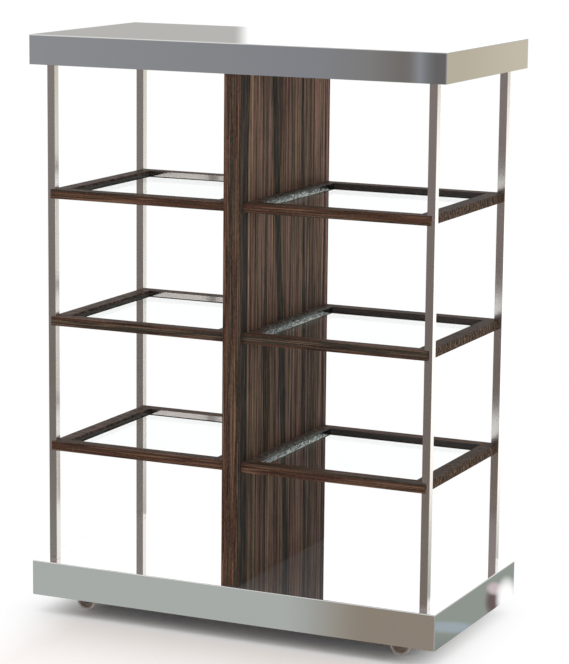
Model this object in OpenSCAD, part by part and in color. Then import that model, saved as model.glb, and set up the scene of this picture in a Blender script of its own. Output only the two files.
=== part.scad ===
// Mobile bar unit. A polished steel worktop and base are tied together by four square posts and a
// striped veneer panel. Framed glass shelves stand on both sides of the panel, and the unit rolls
// on four swivel castors hidden behind the base skirt. +Z is up, the floor is at zero, -Y is the front.

/* [Overall] */
// Width of the unit across the worktop
unit_w = 1200; // [1000:10:1500]
// Depth of the unit from front to rear
unit_d = 600; // [520:10:720]
// Height of the worktop above the floor
unit_h = 1600; // [1500:5:1750]
// Clear height between the floor and the base skirt
ground_gap = 50; // [42:1:56]

/* [Worktop] */
// Height of the worktop casing
top_h = 80; // [60:1:110]
// Thickness of the worktop's sheet steel
top_sheet_t = 1.5; // [1:0.1:3]
// Thickness of the plate that closes the worktop underneath
soffit_t = 3; // [2:0.5:6]
// Thickness of the core board under the worktop's sheet
core_t = 25; // [12:1:40]
// Width of the battens under the core board
batten_w = 76; // [70:1:110]

/* [Base] */
// Height of the base casing
base_h = 97; // [88:1:120]
// Thickness of the base's sheet steel
base_sheet_t = 2; // [1:0.1:3]
// Width of the fold along the lower edge of the skirt
hem_w = 14; // [8:1:20]
// Thickness of the deck board under the base's top sheet
deck_t = 18; // [12:1:24]
// Width of the chassis tubes
tube_w = 60; // [54:1:70]
// Wall of the chassis tubes
tube_wall = 2; // [1.5:0.1:4]

/* [Posts] */
// Side of the square posts
post_side = 22; // [18:0.5:30]
// Wall of the posts
post_wall = 1.5; // [1:0.1:2.5]
// Distance from the side of the worktop to a post
post_inset_x = 36; // [28:1:60]
// Distance from the front or rear of the worktop to a post
post_inset_y = 34; // [28:1:60]
// Length of the threaded plugs in the ends of the posts
plug_len = 40; // [32:1:60]
// Diameter of the bolts that hold the posts
post_bolt_d = 8; // [6:1:10]

/* [Centre panel] */
// Thickness of the panel
panel_t = 50; // [46:1:70]
// Thickness of the solid lipping on the panel's two edges
lipping_t = 8; // [4:1:14]
// How far the panel stands out past the shelf frames
panel_proud = 14; // [4:1:24]
// Diameter of the bolts that hold the panel
panel_bolt_d = 7; // [5:0.5:9]

/* [Shelves] */
// Height from the base to the rail tops of the lowest shelves
shelf_rise = 337; // [280:1:380]
// Height from one shelf to the next
shelf_pitch = 349; // [300:1:375]
// Width of the frame rails
rail_w = 38; // [34:1:54]
// Height of the frame rails
rail_h = 25; // [24:0.5:36]
// Depth from the rail tops down to the glass
tray_depth = 15; // [9:0.5:16]
// Thickness of the glass
glass_t = 8; // [5:0.5:9]
// Depth of the groove that holds the glass
groove_d = 8; // [5:0.5:12]
// Thickness of the bright strips along two sides of each pane
trim_t = 1.2; // [0.8:0.1:2.5]
// Thickness of the wood that covers a post at the front and the rear
post_cover = 5; // [2:0.5:12]
// Diameter of the pins between the posts and the frames
pin_d = 6; // [4:0.5:8]
// Diameter of the dowels between the panel and the frames
dowel_d = 8; // [6:0.5:10]

/* [Castors] */
// Height from the floor to the mounting face of a castor
castor_h = 85; // [83:0.5:92]
// Distance from the side of the base to a swivel axis
castor_inset_x = 105; // [90:1:200]
// Diameter of the wheels
wheel_d = 58; // [50:0.5:59]
// Width of the tyres
tyre_w = 20; // [14:0.5:26]
// Thickness of the tyres
tyre_t = 6; // [4:0.5:8]
// Distance from the swivel axis to the wheel axle
trail = 22; // [16:0.5:28]
// Thickness of the fork's plate
fork_t = 3; // [2:0.5:4]
// Diameter of the wheel axle
axle_d = 8; // [6:0.5:10]

/* [Hidden] */
// How far a cut runs past the face that it opens
overrun = 1;
// Radial clearance of a pin, bolt or shaft in its hole
fit_gap = 0.05;
// Clearance of a board or plate in its casing
board_gap = 0.3;
// Clearance between moving faces of the castors
run_gap = 0.3;
// Setback of a rail's end from the line of the mitre, for the glue
mitre_gap = 0.1;
// Inside radius of a fold in the sheet steel
fold_r = 1;
// Sides of a hexagonal head
hex_sides = 6;
// Levels of shelves
shelf_levels = 3;
$fn = 64;

// Heights of the base and the worktop
base_z = ground_gap;
base_top_z = base_z + base_h;
top_z = unit_h - top_h;
deck_z = base_top_z - base_sheet_t - deck_t;
tube_h = deck_z - castor_h;

// Plan of the boards in the worktop, and inside plan of the base
top_board_w = unit_w - 2 * top_sheet_t - 2 * board_gap;
top_board_d = unit_d - 2 * top_sheet_t - 2 * board_gap;
base_in_w = unit_w - 2 * base_sheet_t;
base_in_d = unit_d - 2 * base_sheet_t;

// Posts, from the base to the worktop
post_x = unit_w / 2 - post_inset_x - post_side / 2;
post_y = unit_d / 2 - post_inset_y - post_side / 2;
post_len = top_z - base_top_z;
post_in = post_side - 2 * post_wall;
post_bolt_r = post_bolt_d / 2;
post_head_share = 0.9;
post_head_r = post_bolt_d * post_head_share;
post_head_h_share = 0.65;
post_head_h = post_bolt_d * post_head_h_share;
plug_grip_share = 0.75;
plug_grip = plug_len * plug_grip_share;

// Shelf frames, from the panel to the middle of the posts
frame_x0 = panel_t / 2;
frame_x1 = post_x;
frame_y1 = post_y + post_side / 2 + post_cover;
glass_low = rail_h - tray_depth - glass_t;
glass_play = 0.3;
open_x0 = frame_x0 + rail_w;
open_x1 = frame_x1 - rail_w;
open_y1 = frame_y1 - rail_w;
trim_drop = 0.5;

// Pins and dowels of the frames, at half the rail height
joint_z = rail_h / 2;
pin_r = pin_d / 2;
pin_in_wood_share = 0.35;
pin_in_wood = rail_w * pin_in_wood_share;
pin_in_post_share = 0.4;
pin_in_post = post_side * pin_in_post_share;
dowel_r = dowel_d / 2;
dowel_in_rail_share = 0.5;
dowel_in_rail = rail_w * dowel_in_rail_share;
dowel_in_panel_share = 0.4;
dowel_in_panel = panel_t * dowel_in_panel_share;
dowel_end_gap = 0.5;
dowel_y_share = 0.5;
dowel_y = frame_y1 * dowel_y_share;

// Centre panel and its bolts
panel_y1 = frame_y1 + panel_proud;
panel_bolt_r = panel_bolt_d / 2;
panel_head_r = panel_bolt_d;
panel_head_h_share = 0.6;
panel_head_h = panel_bolt_d * panel_head_h_share;
panel_bolt_grip_share = 7;
panel_bolt_grip = panel_bolt_d * panel_bolt_grip_share;
panel_bolt_y_share = 0.5;
panel_bolt_y = panel_y1 * panel_bolt_y_share;

// Pockets in the worktop's core over the bolt heads
pocket_gap = 3;

// Castor places: beside the chassis tube, the post bolts stay free
bolt_reach = 3.5;
castor_x = unit_w / 2 - castor_inset_x;
castor_y = post_y - tube_w / 2 - post_head_r - bolt_reach;
tube_end_gap = 12;
tube_len = base_in_w - 2 * tube_end_gap;
cross_x_share = 0.25;
cross_x = unit_w * cross_x_share;
cross_len = 2 * castor_y - tube_w;

// Wheel and tyre
wheel_r = wheel_d / 2;
rim_r = wheel_r - tyre_t;
rim_t = 4;
rim_in_r = rim_r - rim_t;
rim_side = 1;
rim_w = tyre_w - 2 * rim_side;
shoulder_share = 0.4;
shoulder_r = tyre_t * shoulder_share;
axle_r = axle_d / 2;
hub_wall = 5;
hub_r = axle_r + fit_gap + hub_wall;
web_share = 0.3;
web_t = tyre_w * web_share;

// Fork, race and plate
cheek_gap = 2;
fork_in_w = tyre_w + 2 * cheek_gap;
fork_out_w = fork_in_w + 2 * fork_t;
hub_w = fork_in_w - 2 * run_gap;
crown_gap = 3.5;
crown_z = wheel_d + crown_gap;
crown_top = crown_z + fork_t;
eye_wall = 5;
eye_r = axle_r + eye_wall;
crown_r = 23;
crown_back_share = 0.8;
crown_back = crown_r * crown_back_share;
crown_fore = trail + eye_r;
plate_t = 3;
plate_z = castor_h - plate_t;
ball_r = 3;
ball_count = 12;
race_r = 16;
race_rim = 5.5;
race_out_r = race_r + race_rim;
race_z = (crown_top + plate_z) / 2;
kingpin_r = 5;
king_head_r = 9;
king_head_h = 2;
king_head_z = crown_z - run_gap - king_head_h;

// Mounting plate and its bolts
plate_l = 76;
plate_edge = 9;
plate_side = 1.5;
plate_w = tube_w - 2 * plate_side;
plate_bolt_x = plate_l / 2 - plate_edge;
plate_bolt_y = plate_w / 2 - plate_edge;
plate_bolt_r = 3;
plate_head_r = 5.5;
plate_head_h = 4;
plate_nut_h = 5;
plate_thread = 3;

// Axle head and nut
axle_head_share = 0.85;
axle_head_r = axle_d * axle_head_share;
axle_head_h = 4;

// Height of the rail tops of a shelf level, counted from the lowest
function shelf_z(level) = base_top_z + shelf_rise + level * shelf_pitch;

// Places that repeat
module at_corners(x, y) {
    for (sx = [-1, 1])
        for (sy = [-1, 1])
            translate([sx * x, sy * y, 0]) children();
}

module at_panel_bolts() {
    for (step = [-1, 0, 1])
        translate([0, step * panel_bolt_y, 0]) children();
}

// One shelf's own frame: zero at the underside of its rails, +X away from the panel
module on_shelf(side, level) {
    translate([0, 0, shelf_z(level) - rail_h])
        rotate([0, 0, side > 0 ? 0 : 180]) children();
}

module on_all_shelves() {
    for (side = [-1, 1])
        for (level = [0 : shelf_levels - 1])
            on_shelf(side, level) children();
}

// One castor's own frame: zero on the floor under the swivel axis, +X towards the wheel
module on_castor(sx, sy) {
    translate([sx * castor_x, sy * castor_y, 0])
        rotate([0, 0, sx > 0 ? 180 : 0]) children();
}

// A bolt that points up, with the underside of its head at zero
module bolt(r, head_r, head_h, len) {
    translate([0, 0, -head_h]) cylinder(r = head_r, h = head_h, $fn = hex_sides);
    cylinder(r = r, h = len);
}

// A rod of radius r along +X from zero
module rod_x(r, len) {
    rotate([0, 90, 0]) cylinder(r = r, h = len);
}

// Plan of a folded casing, a rectangle with rounded corners
module fold_plan(w, d, r) {
    square([w - 2 * r, d], center = true);
    square([w, d - 2 * r], center = true);
    at_corners(w / 2 - r, d / 2 - r) circle(r);
}

// Section of a wall that folds over into the top, +X outwards from the axis of the fold
module fold_section(h, t) {
    out_r = fold_r + t;
    intersection() {
        square([out_r, h]);
        difference() {
            union() {
                square([out_r, h - out_r]);
                translate([0, h - out_r]) circle(out_r);
            }
            translate([0, -overrun]) square([fold_r, h - out_r + overrun]);
            translate([0, h - out_r]) circle(fold_r);
        }
    }
}

// Box of sheet, open below, with rounded folds along the top and down the corners
module folded_box(w, d, h, t) {
    x = w / 2 - fold_r - t;
    y = d / 2 - fold_r - t;
    translate([0, 0, h - t]) linear_extrude(t) square([2 * x, 2 * y], center = true);
    for (turn = [0, 180])
        rotate([0, 0, turn]) {
            translate([-x, y, 0]) rotate([90, 0, 90]) linear_extrude(2 * x) fold_section(h, t);
            translate([x, y, 0]) rotate([90, 0, 0]) linear_extrude(2 * y) fold_section(h, t);
            translate([x, y, 0]) rotate_extrude(angle = 90) fold_section(h, t);
            translate([-x, y, 0]) rotate([0, 0, 90]) rotate_extrude(angle = 90) fold_section(h, t);
        }
}

// Board inside a casing, stepped along its upper edges to clear the folds
module eased_board(w, d, h) {
    linear_extrude(h - fold_r) fold_plan(w, d, fold_r);
    linear_extrude(h) square([w - 2 * fold_r, d - 2 * fold_r], center = true);
}

// Worktop
module top_casing() {
    color("lightsteelblue")
    translate([0, 0, top_z]) folded_box(unit_w, unit_d, top_h, top_sheet_t);
}

module top_core() {
    core_h = top_h - top_sheet_t - soffit_t;
    bay_w = (top_board_w - 3 * batten_w) / 2;
    bay_d = top_board_d - 2 * batten_w;
    color("burlywood")
    translate([0, 0, top_z + soffit_t])
    difference() {
        eased_board(top_board_w, top_board_d, core_h);
        // bays between the battens
        for (sx = [-1, 1])
            translate([sx * (batten_w + bay_w) / 2, 0, -overrun])
            linear_extrude(core_h - core_t + overrun) square([bay_w, bay_d], center = true);
        at_corners(post_x, post_y)
            translate([0, 0, -overrun])
            cylinder(r = post_head_r + pocket_gap, h = overrun + post_head_h + pocket_gap);
        at_panel_bolts()
            translate([0, 0, -overrun])
            cylinder(r = panel_head_r + pocket_gap, h = overrun + panel_head_h + pocket_gap);
    }
}

module top_soffit() {
    color("gray")
    translate([0, 0, top_z])
    difference() {
        linear_extrude(soffit_t) fold_plan(top_board_w, top_board_d, fold_r);
        at_corners(post_x, post_y)
            translate([0, 0, -overrun]) cylinder(r = post_bolt_r + fit_gap, h = soffit_t + 2 * overrun);
        at_panel_bolts()
            translate([0, 0, -overrun]) cylinder(r = panel_bolt_r + fit_gap, h = soffit_t + 2 * overrun);
    }
}

// Base
module base_bolt_holes(z, h) {
    at_corners(post_x, post_y)
        translate([0, 0, z - overrun]) cylinder(r = post_bolt_r + fit_gap, h = h + 2 * overrun);
    at_panel_bolts()
        translate([0, 0, z - overrun]) cylinder(r = panel_bolt_r + fit_gap, h = h + 2 * overrun);
}

module base_casing() {
    mouth_w = base_in_w - 2 * hem_w;
    mouth_d = base_in_d - 2 * hem_w;
    color("silver")
    difference() {
        translate([0, 0, base_z]) {
            folded_box(unit_w, unit_d, base_h, base_sheet_t);
            // hem along the lower edge, rooted in the middle of the sheet
            linear_extrude(base_sheet_t)
                difference() {
                    square([unit_w - base_sheet_t, unit_d - base_sheet_t], center = true);
                    square([mouth_w, mouth_d], center = true);
                }
        }
        base_bolt_holes(base_top_z - base_sheet_t, base_sheet_t);
    }
}

module base_deck() {
    color("burlywood")
    difference() {
        translate([0, 0, deck_z])
            eased_board(base_in_w - 2 * board_gap, base_in_d - 2 * board_gap, deck_t);
        base_bolt_holes(deck_z, deck_t);
    }
}

module tube_bar(len) {
    rotate([90, 0, 90])
        linear_extrude(len, center = true)
        difference() {
            square([tube_w, tube_h], center = true);
            square([tube_w - 2 * tube_wall, tube_h - 2 * tube_wall], center = true);
        }
}

module base_chassis() {
    color("dimgray")
    translate([0, 0, castor_h + tube_h / 2]) {
        difference() {
            for (sy = [-1, 1])
                translate([0, sy * castor_y, 0]) tube_bar(tube_len);
            at_corners(castor_x, castor_y)
                at_corners(plate_bolt_x, plate_bolt_y)
                translate([0, 0, -tube_h / 2 - overrun])
                cylinder(r = plate_bolt_r + fit_gap, h = tube_wall + 2 * overrun);
        }
        for (sx = [-1, 1])
            translate([sx * cross_x, 0, 0]) rotate([0, 0, 90]) tube_bar(cross_len);
    }
}

// Posts
module post(sx, sy) {
    inward = sx > 0 ? 180 : 0;
    color("gainsboro")
    translate([sx * post_x, sy * post_y, 0])
    difference() {
        translate([0, 0, base_top_z])
            linear_extrude(post_len)
            difference() {
                square(post_side, center = true);
                square(post_in, center = true);
            }
        for (level = [0 : shelf_levels - 1])
            translate([0, 0, shelf_z(level) - rail_h + joint_z])
            rotate([0, 0, inward]) rod_x(pin_r + fit_gap, post_side);
    }
}

module post_plug() {
    plug_side = post_in - 2 * fit_gap;
    linear_extrude(plug_len)
        difference() {
            square(plug_side, center = true);
            circle(post_bolt_r + fit_gap);
        }
}

module post_plugs() {
    color("darkgray")
    at_corners(post_x, post_y) {
        translate([0, 0, base_top_z]) post_plug();
        translate([0, 0, top_z - plug_len]) post_plug();
    }
}

module post_bolts() {
    color("dimgray")
    at_corners(post_x, post_y) {
        translate([0, 0, deck_z])
            bolt(post_bolt_r, post_head_r, post_head_h, deck_t + base_sheet_t + plug_grip);
        translate([0, 0, top_z + soffit_t])
            mirror([0, 0, 1]) bolt(post_bolt_r, post_head_r, post_head_h, soffit_t + plug_grip);
    }
}

// Centre panel
module panel_board(y0, y1) {
    translate([-panel_t / 2, y0, base_top_z]) cube([panel_t, y1 - y0, post_len]);
}

module centre_panel() {
    color("saddlebrown")
    difference() {
        panel_board(lipping_t - panel_y1, panel_y1 - lipping_t);
        at_panel_bolts() {
            translate([0, 0, base_top_z - overrun])
                cylinder(r = panel_bolt_r + fit_gap, h = overrun + panel_bolt_grip + dowel_end_gap);
            translate([0, 0, top_z - panel_bolt_grip - dowel_end_gap])
                cylinder(r = panel_bolt_r + fit_gap, h = panel_bolt_grip + dowel_end_gap + overrun);
        }
        on_all_shelves()
            for (sy = [-1, 1])
            translate([frame_x0 - dowel_in_panel - dowel_end_gap, sy * dowel_y, joint_z])
            rod_x(dowel_r + fit_gap, dowel_in_panel + dowel_end_gap + overrun);
    }
}

module panel_front_lipping() {
    color("sienna") panel_board(-panel_y1, lipping_t - panel_y1);
}

module panel_rear_lipping() {
    color("sienna") panel_board(panel_y1 - lipping_t, panel_y1);
}

module panel_bolts() {
    color("dimgray")
    at_panel_bolts() {
        translate([0, 0, deck_z])
            bolt(panel_bolt_r, panel_head_r, panel_head_h, deck_t + base_sheet_t + panel_bolt_grip);
        translate([0, 0, top_z + soffit_t])
            mirror([0, 0, 1]) bolt(panel_bolt_r, panel_head_r, panel_head_h, soffit_t + panel_bolt_grip);
    }
}

// Plans of four mitred lengths, each w wide, that make a frame
function mitred(x0, x1, y1, w) =
    let (a = x0 + mitre_gap, b = x1 - mitre_gap, c = y1 - mitre_gap)
    [
        [[a, -y1], [b, -y1], [b - w, w - y1], [a + w, w - y1]],
        [[x1, -c], [x1, c], [x1 - w, c - w], [x1 - w, w - c]],
        [[b, y1], [a, y1], [a + w, y1 - w], [b - w, y1 - w]],
        [[x0, c], [x0, -c], [x0 + w, w - c], [x0 + w, c - w]]
    ];

// Plans of the four rails of a frame: mitred too, with the long rails whole in front of the posts
function rail_plans() =
    let (x1 = frame_x1, y1 = frame_y1, w = rail_w, g = mitre_gap)
    let (lap = y1 - post_y, end_y = post_y - g, ring = mitred(frame_x0, x1, y1, w))
    let (front = [
        ring[0][0], [x1, -y1], [x1, -post_y], [x1 - lap - g, -post_y], ring[0][2], ring[0][3]
    ])
    [
        front,
        [[x1, -end_y], [x1, end_y], [x1 - lap, end_y], ring[1][2], ring[1][3], [x1 - lap, -end_y]],
        [for (point = front) [point[0], -point[1]]],
        ring[3]
    ];

module mitred_rail(plan) {
    difference() {
        linear_extrude(rail_h) polygon(plan);
        // groove for the pane
        translate([open_x0 - groove_d, -open_y1 - groove_d, glass_low])
            cube([open_x1 - open_x0 + 2 * groove_d, 2 * (open_y1 + groove_d), glass_t + glass_play]);
        for (sy = [-1, 1]) {
            // housing round the inner half of a post
            translate([post_x - post_side / 2 - fit_gap, sy * post_y, -overrun])
                linear_extrude(rail_h + 2 * overrun)
                translate([0, -post_side / 2 - fit_gap]) square(post_side + 2 * fit_gap);
            // pin and dowel holes
            translate([post_x - post_side / 2 - pin_in_wood - dowel_end_gap, sy * post_y, joint_z])
                rod_x(pin_r + fit_gap, pin_in_wood + dowel_end_gap + overrun);
            translate([frame_x0 - overrun, sy * dowel_y, joint_z])
                rod_x(dowel_r + fit_gap, overrun + dowel_in_rail + dowel_end_gap);
        }
    }
}

module shelf_frame(side, level) {
    color("sienna")
    on_shelf(side, level)
        for (plan = rail_plans())
        mitred_rail(plan);
}

module shelf_glass(side, level) {
    edge = groove_d - board_gap;
    color("lightcyan")
    on_shelf(side, level)
        translate([open_x0 - edge, -open_y1 - edge, glass_low])
        cube([open_x1 - open_x0 + 2 * edge, 2 * (open_y1 + edge), glass_t]);
}

// Bright strips on the panel side and on one long side, the other two sides stay bare wood
module shelf_trim(side, level) {
    ring = mitred(open_x0, open_x1, open_y1, trim_t);
    color("whitesmoke")
    on_shelf(side, level)
        translate([0, 0, glass_low + glass_t])
        for (plan = [ring[0], ring[3]])
        linear_extrude(tray_depth - trim_drop) polygon(plan);
}

module shelf_pins() {
    color("gray")
    on_all_shelves()
        for (sy = [-1, 1])
        translate([post_x - post_side / 2 - pin_in_wood, sy * post_y, joint_z])
        rod_x(pin_r, pin_in_wood + pin_in_post);
}

module shelf_dowels() {
    color("tan")
    on_all_shelves()
        for (sy = [-1, 1])
        translate([frame_x0 - dowel_in_panel, sy * dowel_y, joint_z])
        rod_x(dowel_r, dowel_in_panel + dowel_in_rail);
}

// Castors
module race_groove() {
    translate([0, 0, race_z])
        rotate_extrude() translate([race_r, 0]) circle(ball_r + fit_gap);
}

module castor_plate(sx, sy) {
    king_z = crown_z - run_gap;
    boss_z = race_z + run_gap;
    color("lightgray")
    on_castor(sx, sy)
    difference() {
        union() {
            translate([-plate_l / 2, -plate_w / 2, plate_z]) cube([plate_l, plate_w, plate_t]);
            translate([0, 0, boss_z]) cylinder(r = race_out_r, h = plate_z - boss_z);
            translate([0, 0, king_z]) cylinder(r = kingpin_r, h = boss_z - king_z);
            translate([0, 0, king_head_z]) cylinder(r = king_head_r, h = king_head_h);
        }
        race_groove();
        at_corners(plate_bolt_x, plate_bolt_y)
            translate([0, 0, plate_z - overrun])
            cylinder(r = plate_bolt_r + fit_gap, h = plate_t + 2 * overrun);
    }
}

module fork_cheek(y0) {
    outline = [
        [-crown_back, crown_top], [crown_fore, crown_top],
        [trail + eye_r, wheel_r], [trail - eye_r, wheel_r], [-crown_back, crown_z]
    ];
    translate([0, y0 + fork_t, 0])
        rotate([90, 0, 0])
        linear_extrude(fork_t) {
            polygon(outline);
            translate([trail, wheel_r]) circle(eye_r);
        }
}

module castor_fork(sx, sy) {
    boss_h = race_z - run_gap - crown_top;
    color("silver")
    on_castor(sx, sy)
    difference() {
        union() {
            translate([-crown_back, -fork_out_w / 2, crown_z])
                cube([crown_back + crown_fore, fork_out_w, fork_t]);
            translate([0, 0, crown_z]) cylinder(r = crown_r, h = fork_t);
            translate([0, 0, crown_top]) cylinder(r = race_out_r, h = boss_h);
            fork_cheek(-fork_out_w / 2);
            fork_cheek(fork_in_w / 2);
        }
        race_groove();
        translate([0, 0, crown_z - overrun])
            cylinder(r = kingpin_r + fit_gap, h = fork_t + boss_h + 2 * overrun);
        translate([trail, fork_out_w / 2 + overrun, wheel_r])
            rotate([90, 0, 0]) cylinder(r = axle_r + fit_gap, h = fork_out_w + 2 * overrun);
    }
}

module castor_axle(sx, sy) {
    color("dimgray")
    on_castor(sx, sy)
        translate([trail, fork_out_w / 2, wheel_r])
        rotate([90, 0, 0])
        union() {
            bolt(axle_r, axle_head_r, axle_head_h, fork_out_w);
            translate([0, 0, fork_out_w]) cylinder(r = axle_head_r, h = axle_head_h, $fn = hex_sides);
        }
}

module on_axle(sx, sy) {
    on_castor(sx, sy) translate([trail, 0, wheel_r]) rotate([90, 0, 0]) children();
}

module castor_wheel(sx, sy) {
    bore_r = axle_r + fit_gap;
    half = [
        [bore_r, hub_w / 2], [hub_r, hub_w / 2], [hub_r, web_t / 2], [rim_in_r, web_t / 2],
        [rim_in_r, rim_w / 2], [rim_r, rim_w / 2]
    ];
    other_half = [for (i = [len(half) - 1 : -1 : 0]) [half[i][0], -half[i][1]]];
    color("darkslategray")
    on_axle(sx, sy) rotate_extrude() polygon(concat(half, other_half));
}

module castor_tyre(sx, sy) {
    seat_r = rim_r + fit_gap;
    side_r = wheel_r - shoulder_r;
    crown_w = tyre_w - 2 * shoulder_r;
    color("gray")
    on_axle(sx, sy)
    rotate_extrude() {
        translate([seat_r, -tyre_w / 2]) square([side_r - seat_r, tyre_w]);
        translate([seat_r, -crown_w / 2]) square([wheel_r - seat_r, crown_w]);
        for (s = [-1, 1])
            translate([side_r, s * crown_w / 2]) circle(shoulder_r);
    }
}

module castor_balls() {
    color("white")
    at_corners(castor_x, castor_y)
        for (i = [0 : ball_count - 1])
        rotate([0, 0, i * 360 / ball_count])
        translate([race_r, 0, race_z]) sphere(ball_r);
}

module castor_bolts() {
    color("dimgray")
    at_corners(castor_x, castor_y)
        at_corners(plate_bolt_x, plate_bolt_y) {
            translate([0, 0, plate_z])
                bolt(plate_bolt_r, plate_head_r, plate_head_h,
                    plate_t + tube_wall + plate_nut_h + plate_thread);
            translate([0, 0, castor_h + tube_wall])
                difference() {
                    cylinder(r = plate_head_r, h = plate_nut_h, $fn = hex_sides);
                    translate([0, 0, -overrun])
                        cylinder(r = plate_bolt_r + fit_gap, h = plate_nut_h + 2 * overrun);
                }
        }
}

top_casing();
top_core();
top_soffit();
base_casing();
base_deck();
base_chassis();
post(-1, -1);  // post_front_left
post(1, -1);  // post_front_right
post(-1, 1);  // post_rear_left
post(1, 1);  // post_rear_right
post_plugs();
post_bolts();
centre_panel();
panel_front_lipping();
panel_rear_lipping();
panel_bolts();
shelf_frame(-1, 0);  // shelf_frame_left_lower
shelf_frame(-1, 1);  // shelf_frame_left_middle
shelf_frame(-1, 2);  // shelf_frame_left_upper
shelf_frame(1, 0);  // shelf_frame_right_lower
shelf_frame(1, 1);  // shelf_frame_right_middle
shelf_frame(1, 2);  // shelf_frame_right_upper
shelf_glass(-1, 0);  // shelf_glass_left_lower
shelf_glass(-1, 1);  // shelf_glass_left_middle
shelf_glass(-1, 2);  // shelf_glass_left_upper
shelf_glass(1, 0);  // shelf_glass_right_lower
shelf_glass(1, 1);  // shelf_glass_right_middle
shelf_glass(1, 2);  // shelf_glass_right_upper
shelf_trim(-1, 0);  // shelf_trim_left_lower
shelf_trim(-1, 1);  // shelf_trim_left_middle
shelf_trim(-1, 2);  // shelf_trim_left_upper
shelf_trim(1, 0);  // shelf_trim_right_lower
shelf_trim(1, 1);  // shelf_trim_right_middle
shelf_trim(1, 2);  // shelf_trim_right_upper
shelf_pins();
shelf_dowels();
castor_plate(-1, -1);  // castor_plate_front_left
castor_plate(1, -1);  // castor_plate_front_right
castor_plate(-1, 1);  // castor_plate_rear_left
castor_plate(1, 1);  // castor_plate_rear_right
castor_fork(-1, -1);  // castor_fork_front_left
castor_fork(1, -1);  // castor_fork_front_right
castor_fork(-1, 1);  // castor_fork_rear_left
castor_fork(1, 1);  // castor_fork_rear_right
castor_axle(-1, -1);  // castor_axle_front_left
castor_axle(1, -1);  // castor_axle_front_right
castor_axle(-1, 1);  // castor_axle_rear_left
castor_axle(1, 1);  // castor_axle_rear_right
castor_wheel(-1, -1);  // castor_wheel_front_left
castor_wheel(1, -1);  // castor_wheel_front_right
castor_wheel(-1, 1);  // castor_wheel_rear_left
castor_wheel(1, 1);  // castor_wheel_rear_right
castor_tyre(-1, -1);  // castor_tyre_front_left
castor_tyre(1, -1);  // castor_tyre_front_right
castor_tyre(-1, 1);  // castor_tyre_rear_left
castor_tyre(1, 1);  // castor_tyre_rear_right
castor_balls();
castor_bolts();
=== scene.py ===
import logging
import math
from dataclasses import dataclass, field
from enum import Enum
from functools import cached_property
from typing import Any, Dict, List, Mapping, Optional, Tuple, Union

import bpy
from mathutils import Matrix, Vector


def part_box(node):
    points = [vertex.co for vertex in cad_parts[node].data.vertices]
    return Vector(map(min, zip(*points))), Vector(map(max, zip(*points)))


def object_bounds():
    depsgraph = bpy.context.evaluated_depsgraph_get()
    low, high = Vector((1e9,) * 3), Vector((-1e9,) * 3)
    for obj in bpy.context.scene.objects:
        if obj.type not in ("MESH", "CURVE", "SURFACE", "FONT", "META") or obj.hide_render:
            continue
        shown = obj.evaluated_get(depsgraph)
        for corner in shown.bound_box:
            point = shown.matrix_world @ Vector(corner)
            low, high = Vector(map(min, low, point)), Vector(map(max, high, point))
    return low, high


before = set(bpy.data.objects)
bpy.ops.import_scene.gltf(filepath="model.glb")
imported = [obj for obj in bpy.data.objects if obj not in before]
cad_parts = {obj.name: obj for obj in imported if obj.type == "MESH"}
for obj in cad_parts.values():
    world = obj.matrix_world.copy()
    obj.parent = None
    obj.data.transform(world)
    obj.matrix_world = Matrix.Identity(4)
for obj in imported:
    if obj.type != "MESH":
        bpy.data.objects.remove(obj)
CAD_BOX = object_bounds()
LOG = logging.getLogger("mobile_bar")

Key = Union[int, str]
Span = Tuple[float, float]
Triple = Tuple[float, float, float]
Colour = Triple
Stops = Tuple[Tuple[float, Colour], ...]

# The curve between a colour of 0 to 255 a channel and linear light.
CHANNEL_TOP = 255.0
CURVE_KNEE = 0.04045
CURVE_SLOPE = 12.92
CURVE_LIFT = 0.055
CURVE_POWER = 2.4

# Share of the light that polished steel gives back.
STEEL_SHARE = 0.80

# Edge rounding of the dressed pieces.
WELD_REACH = 0.00001
EDGE_STEPS = 2
EDGE_ANGLE = math.radians(40.0)

# Middle value of cloudy noise.
NOISE_MIDDLE = 0.5

DEGREES = 180.0 / math.pi
WHITE: Colour = (1.0, 1.0, 1.0)


def srgb(red: float, green: float, blue: float) -> Colour:
    """Turn a colour of 0 to 255 a channel into linear light.

    Args:
        red: Red channel as the eye sees it.
        green: Green channel.
        blue: Blue channel.

    Returns:
        The three channels in linear light.
    """
    def one(value: float) -> float:
        """Turn one channel into linear light."""
        part = value / CHANNEL_TOP
        if part <= CURVE_KNEE:
            return part / CURVE_SLOPE
        return ((part + CURVE_LIFT) / (1.0 + CURVE_LIFT)) ** CURVE_POWER
    return one(red), one(green), one(blue)


def dimmed(colour: Colour, share: float) -> Colour:
    """A colour at a share of its lightness."""
    return tuple(channel * share for channel in colour)


def shaded(stops: Stops, share: float) -> Stops:
    """A palette at a share of its lightness."""
    return tuple((place, dimmed(colour, share)) for place, colour in stops)


def shown(red: float, green: float, blue: float) -> Colour:
    """Surroundings that polished steel shows as a colour of 0 to 255 a channel."""
    return dimmed(srgb(red, green, blue), 1.0 / STEEL_SHARE)


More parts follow.
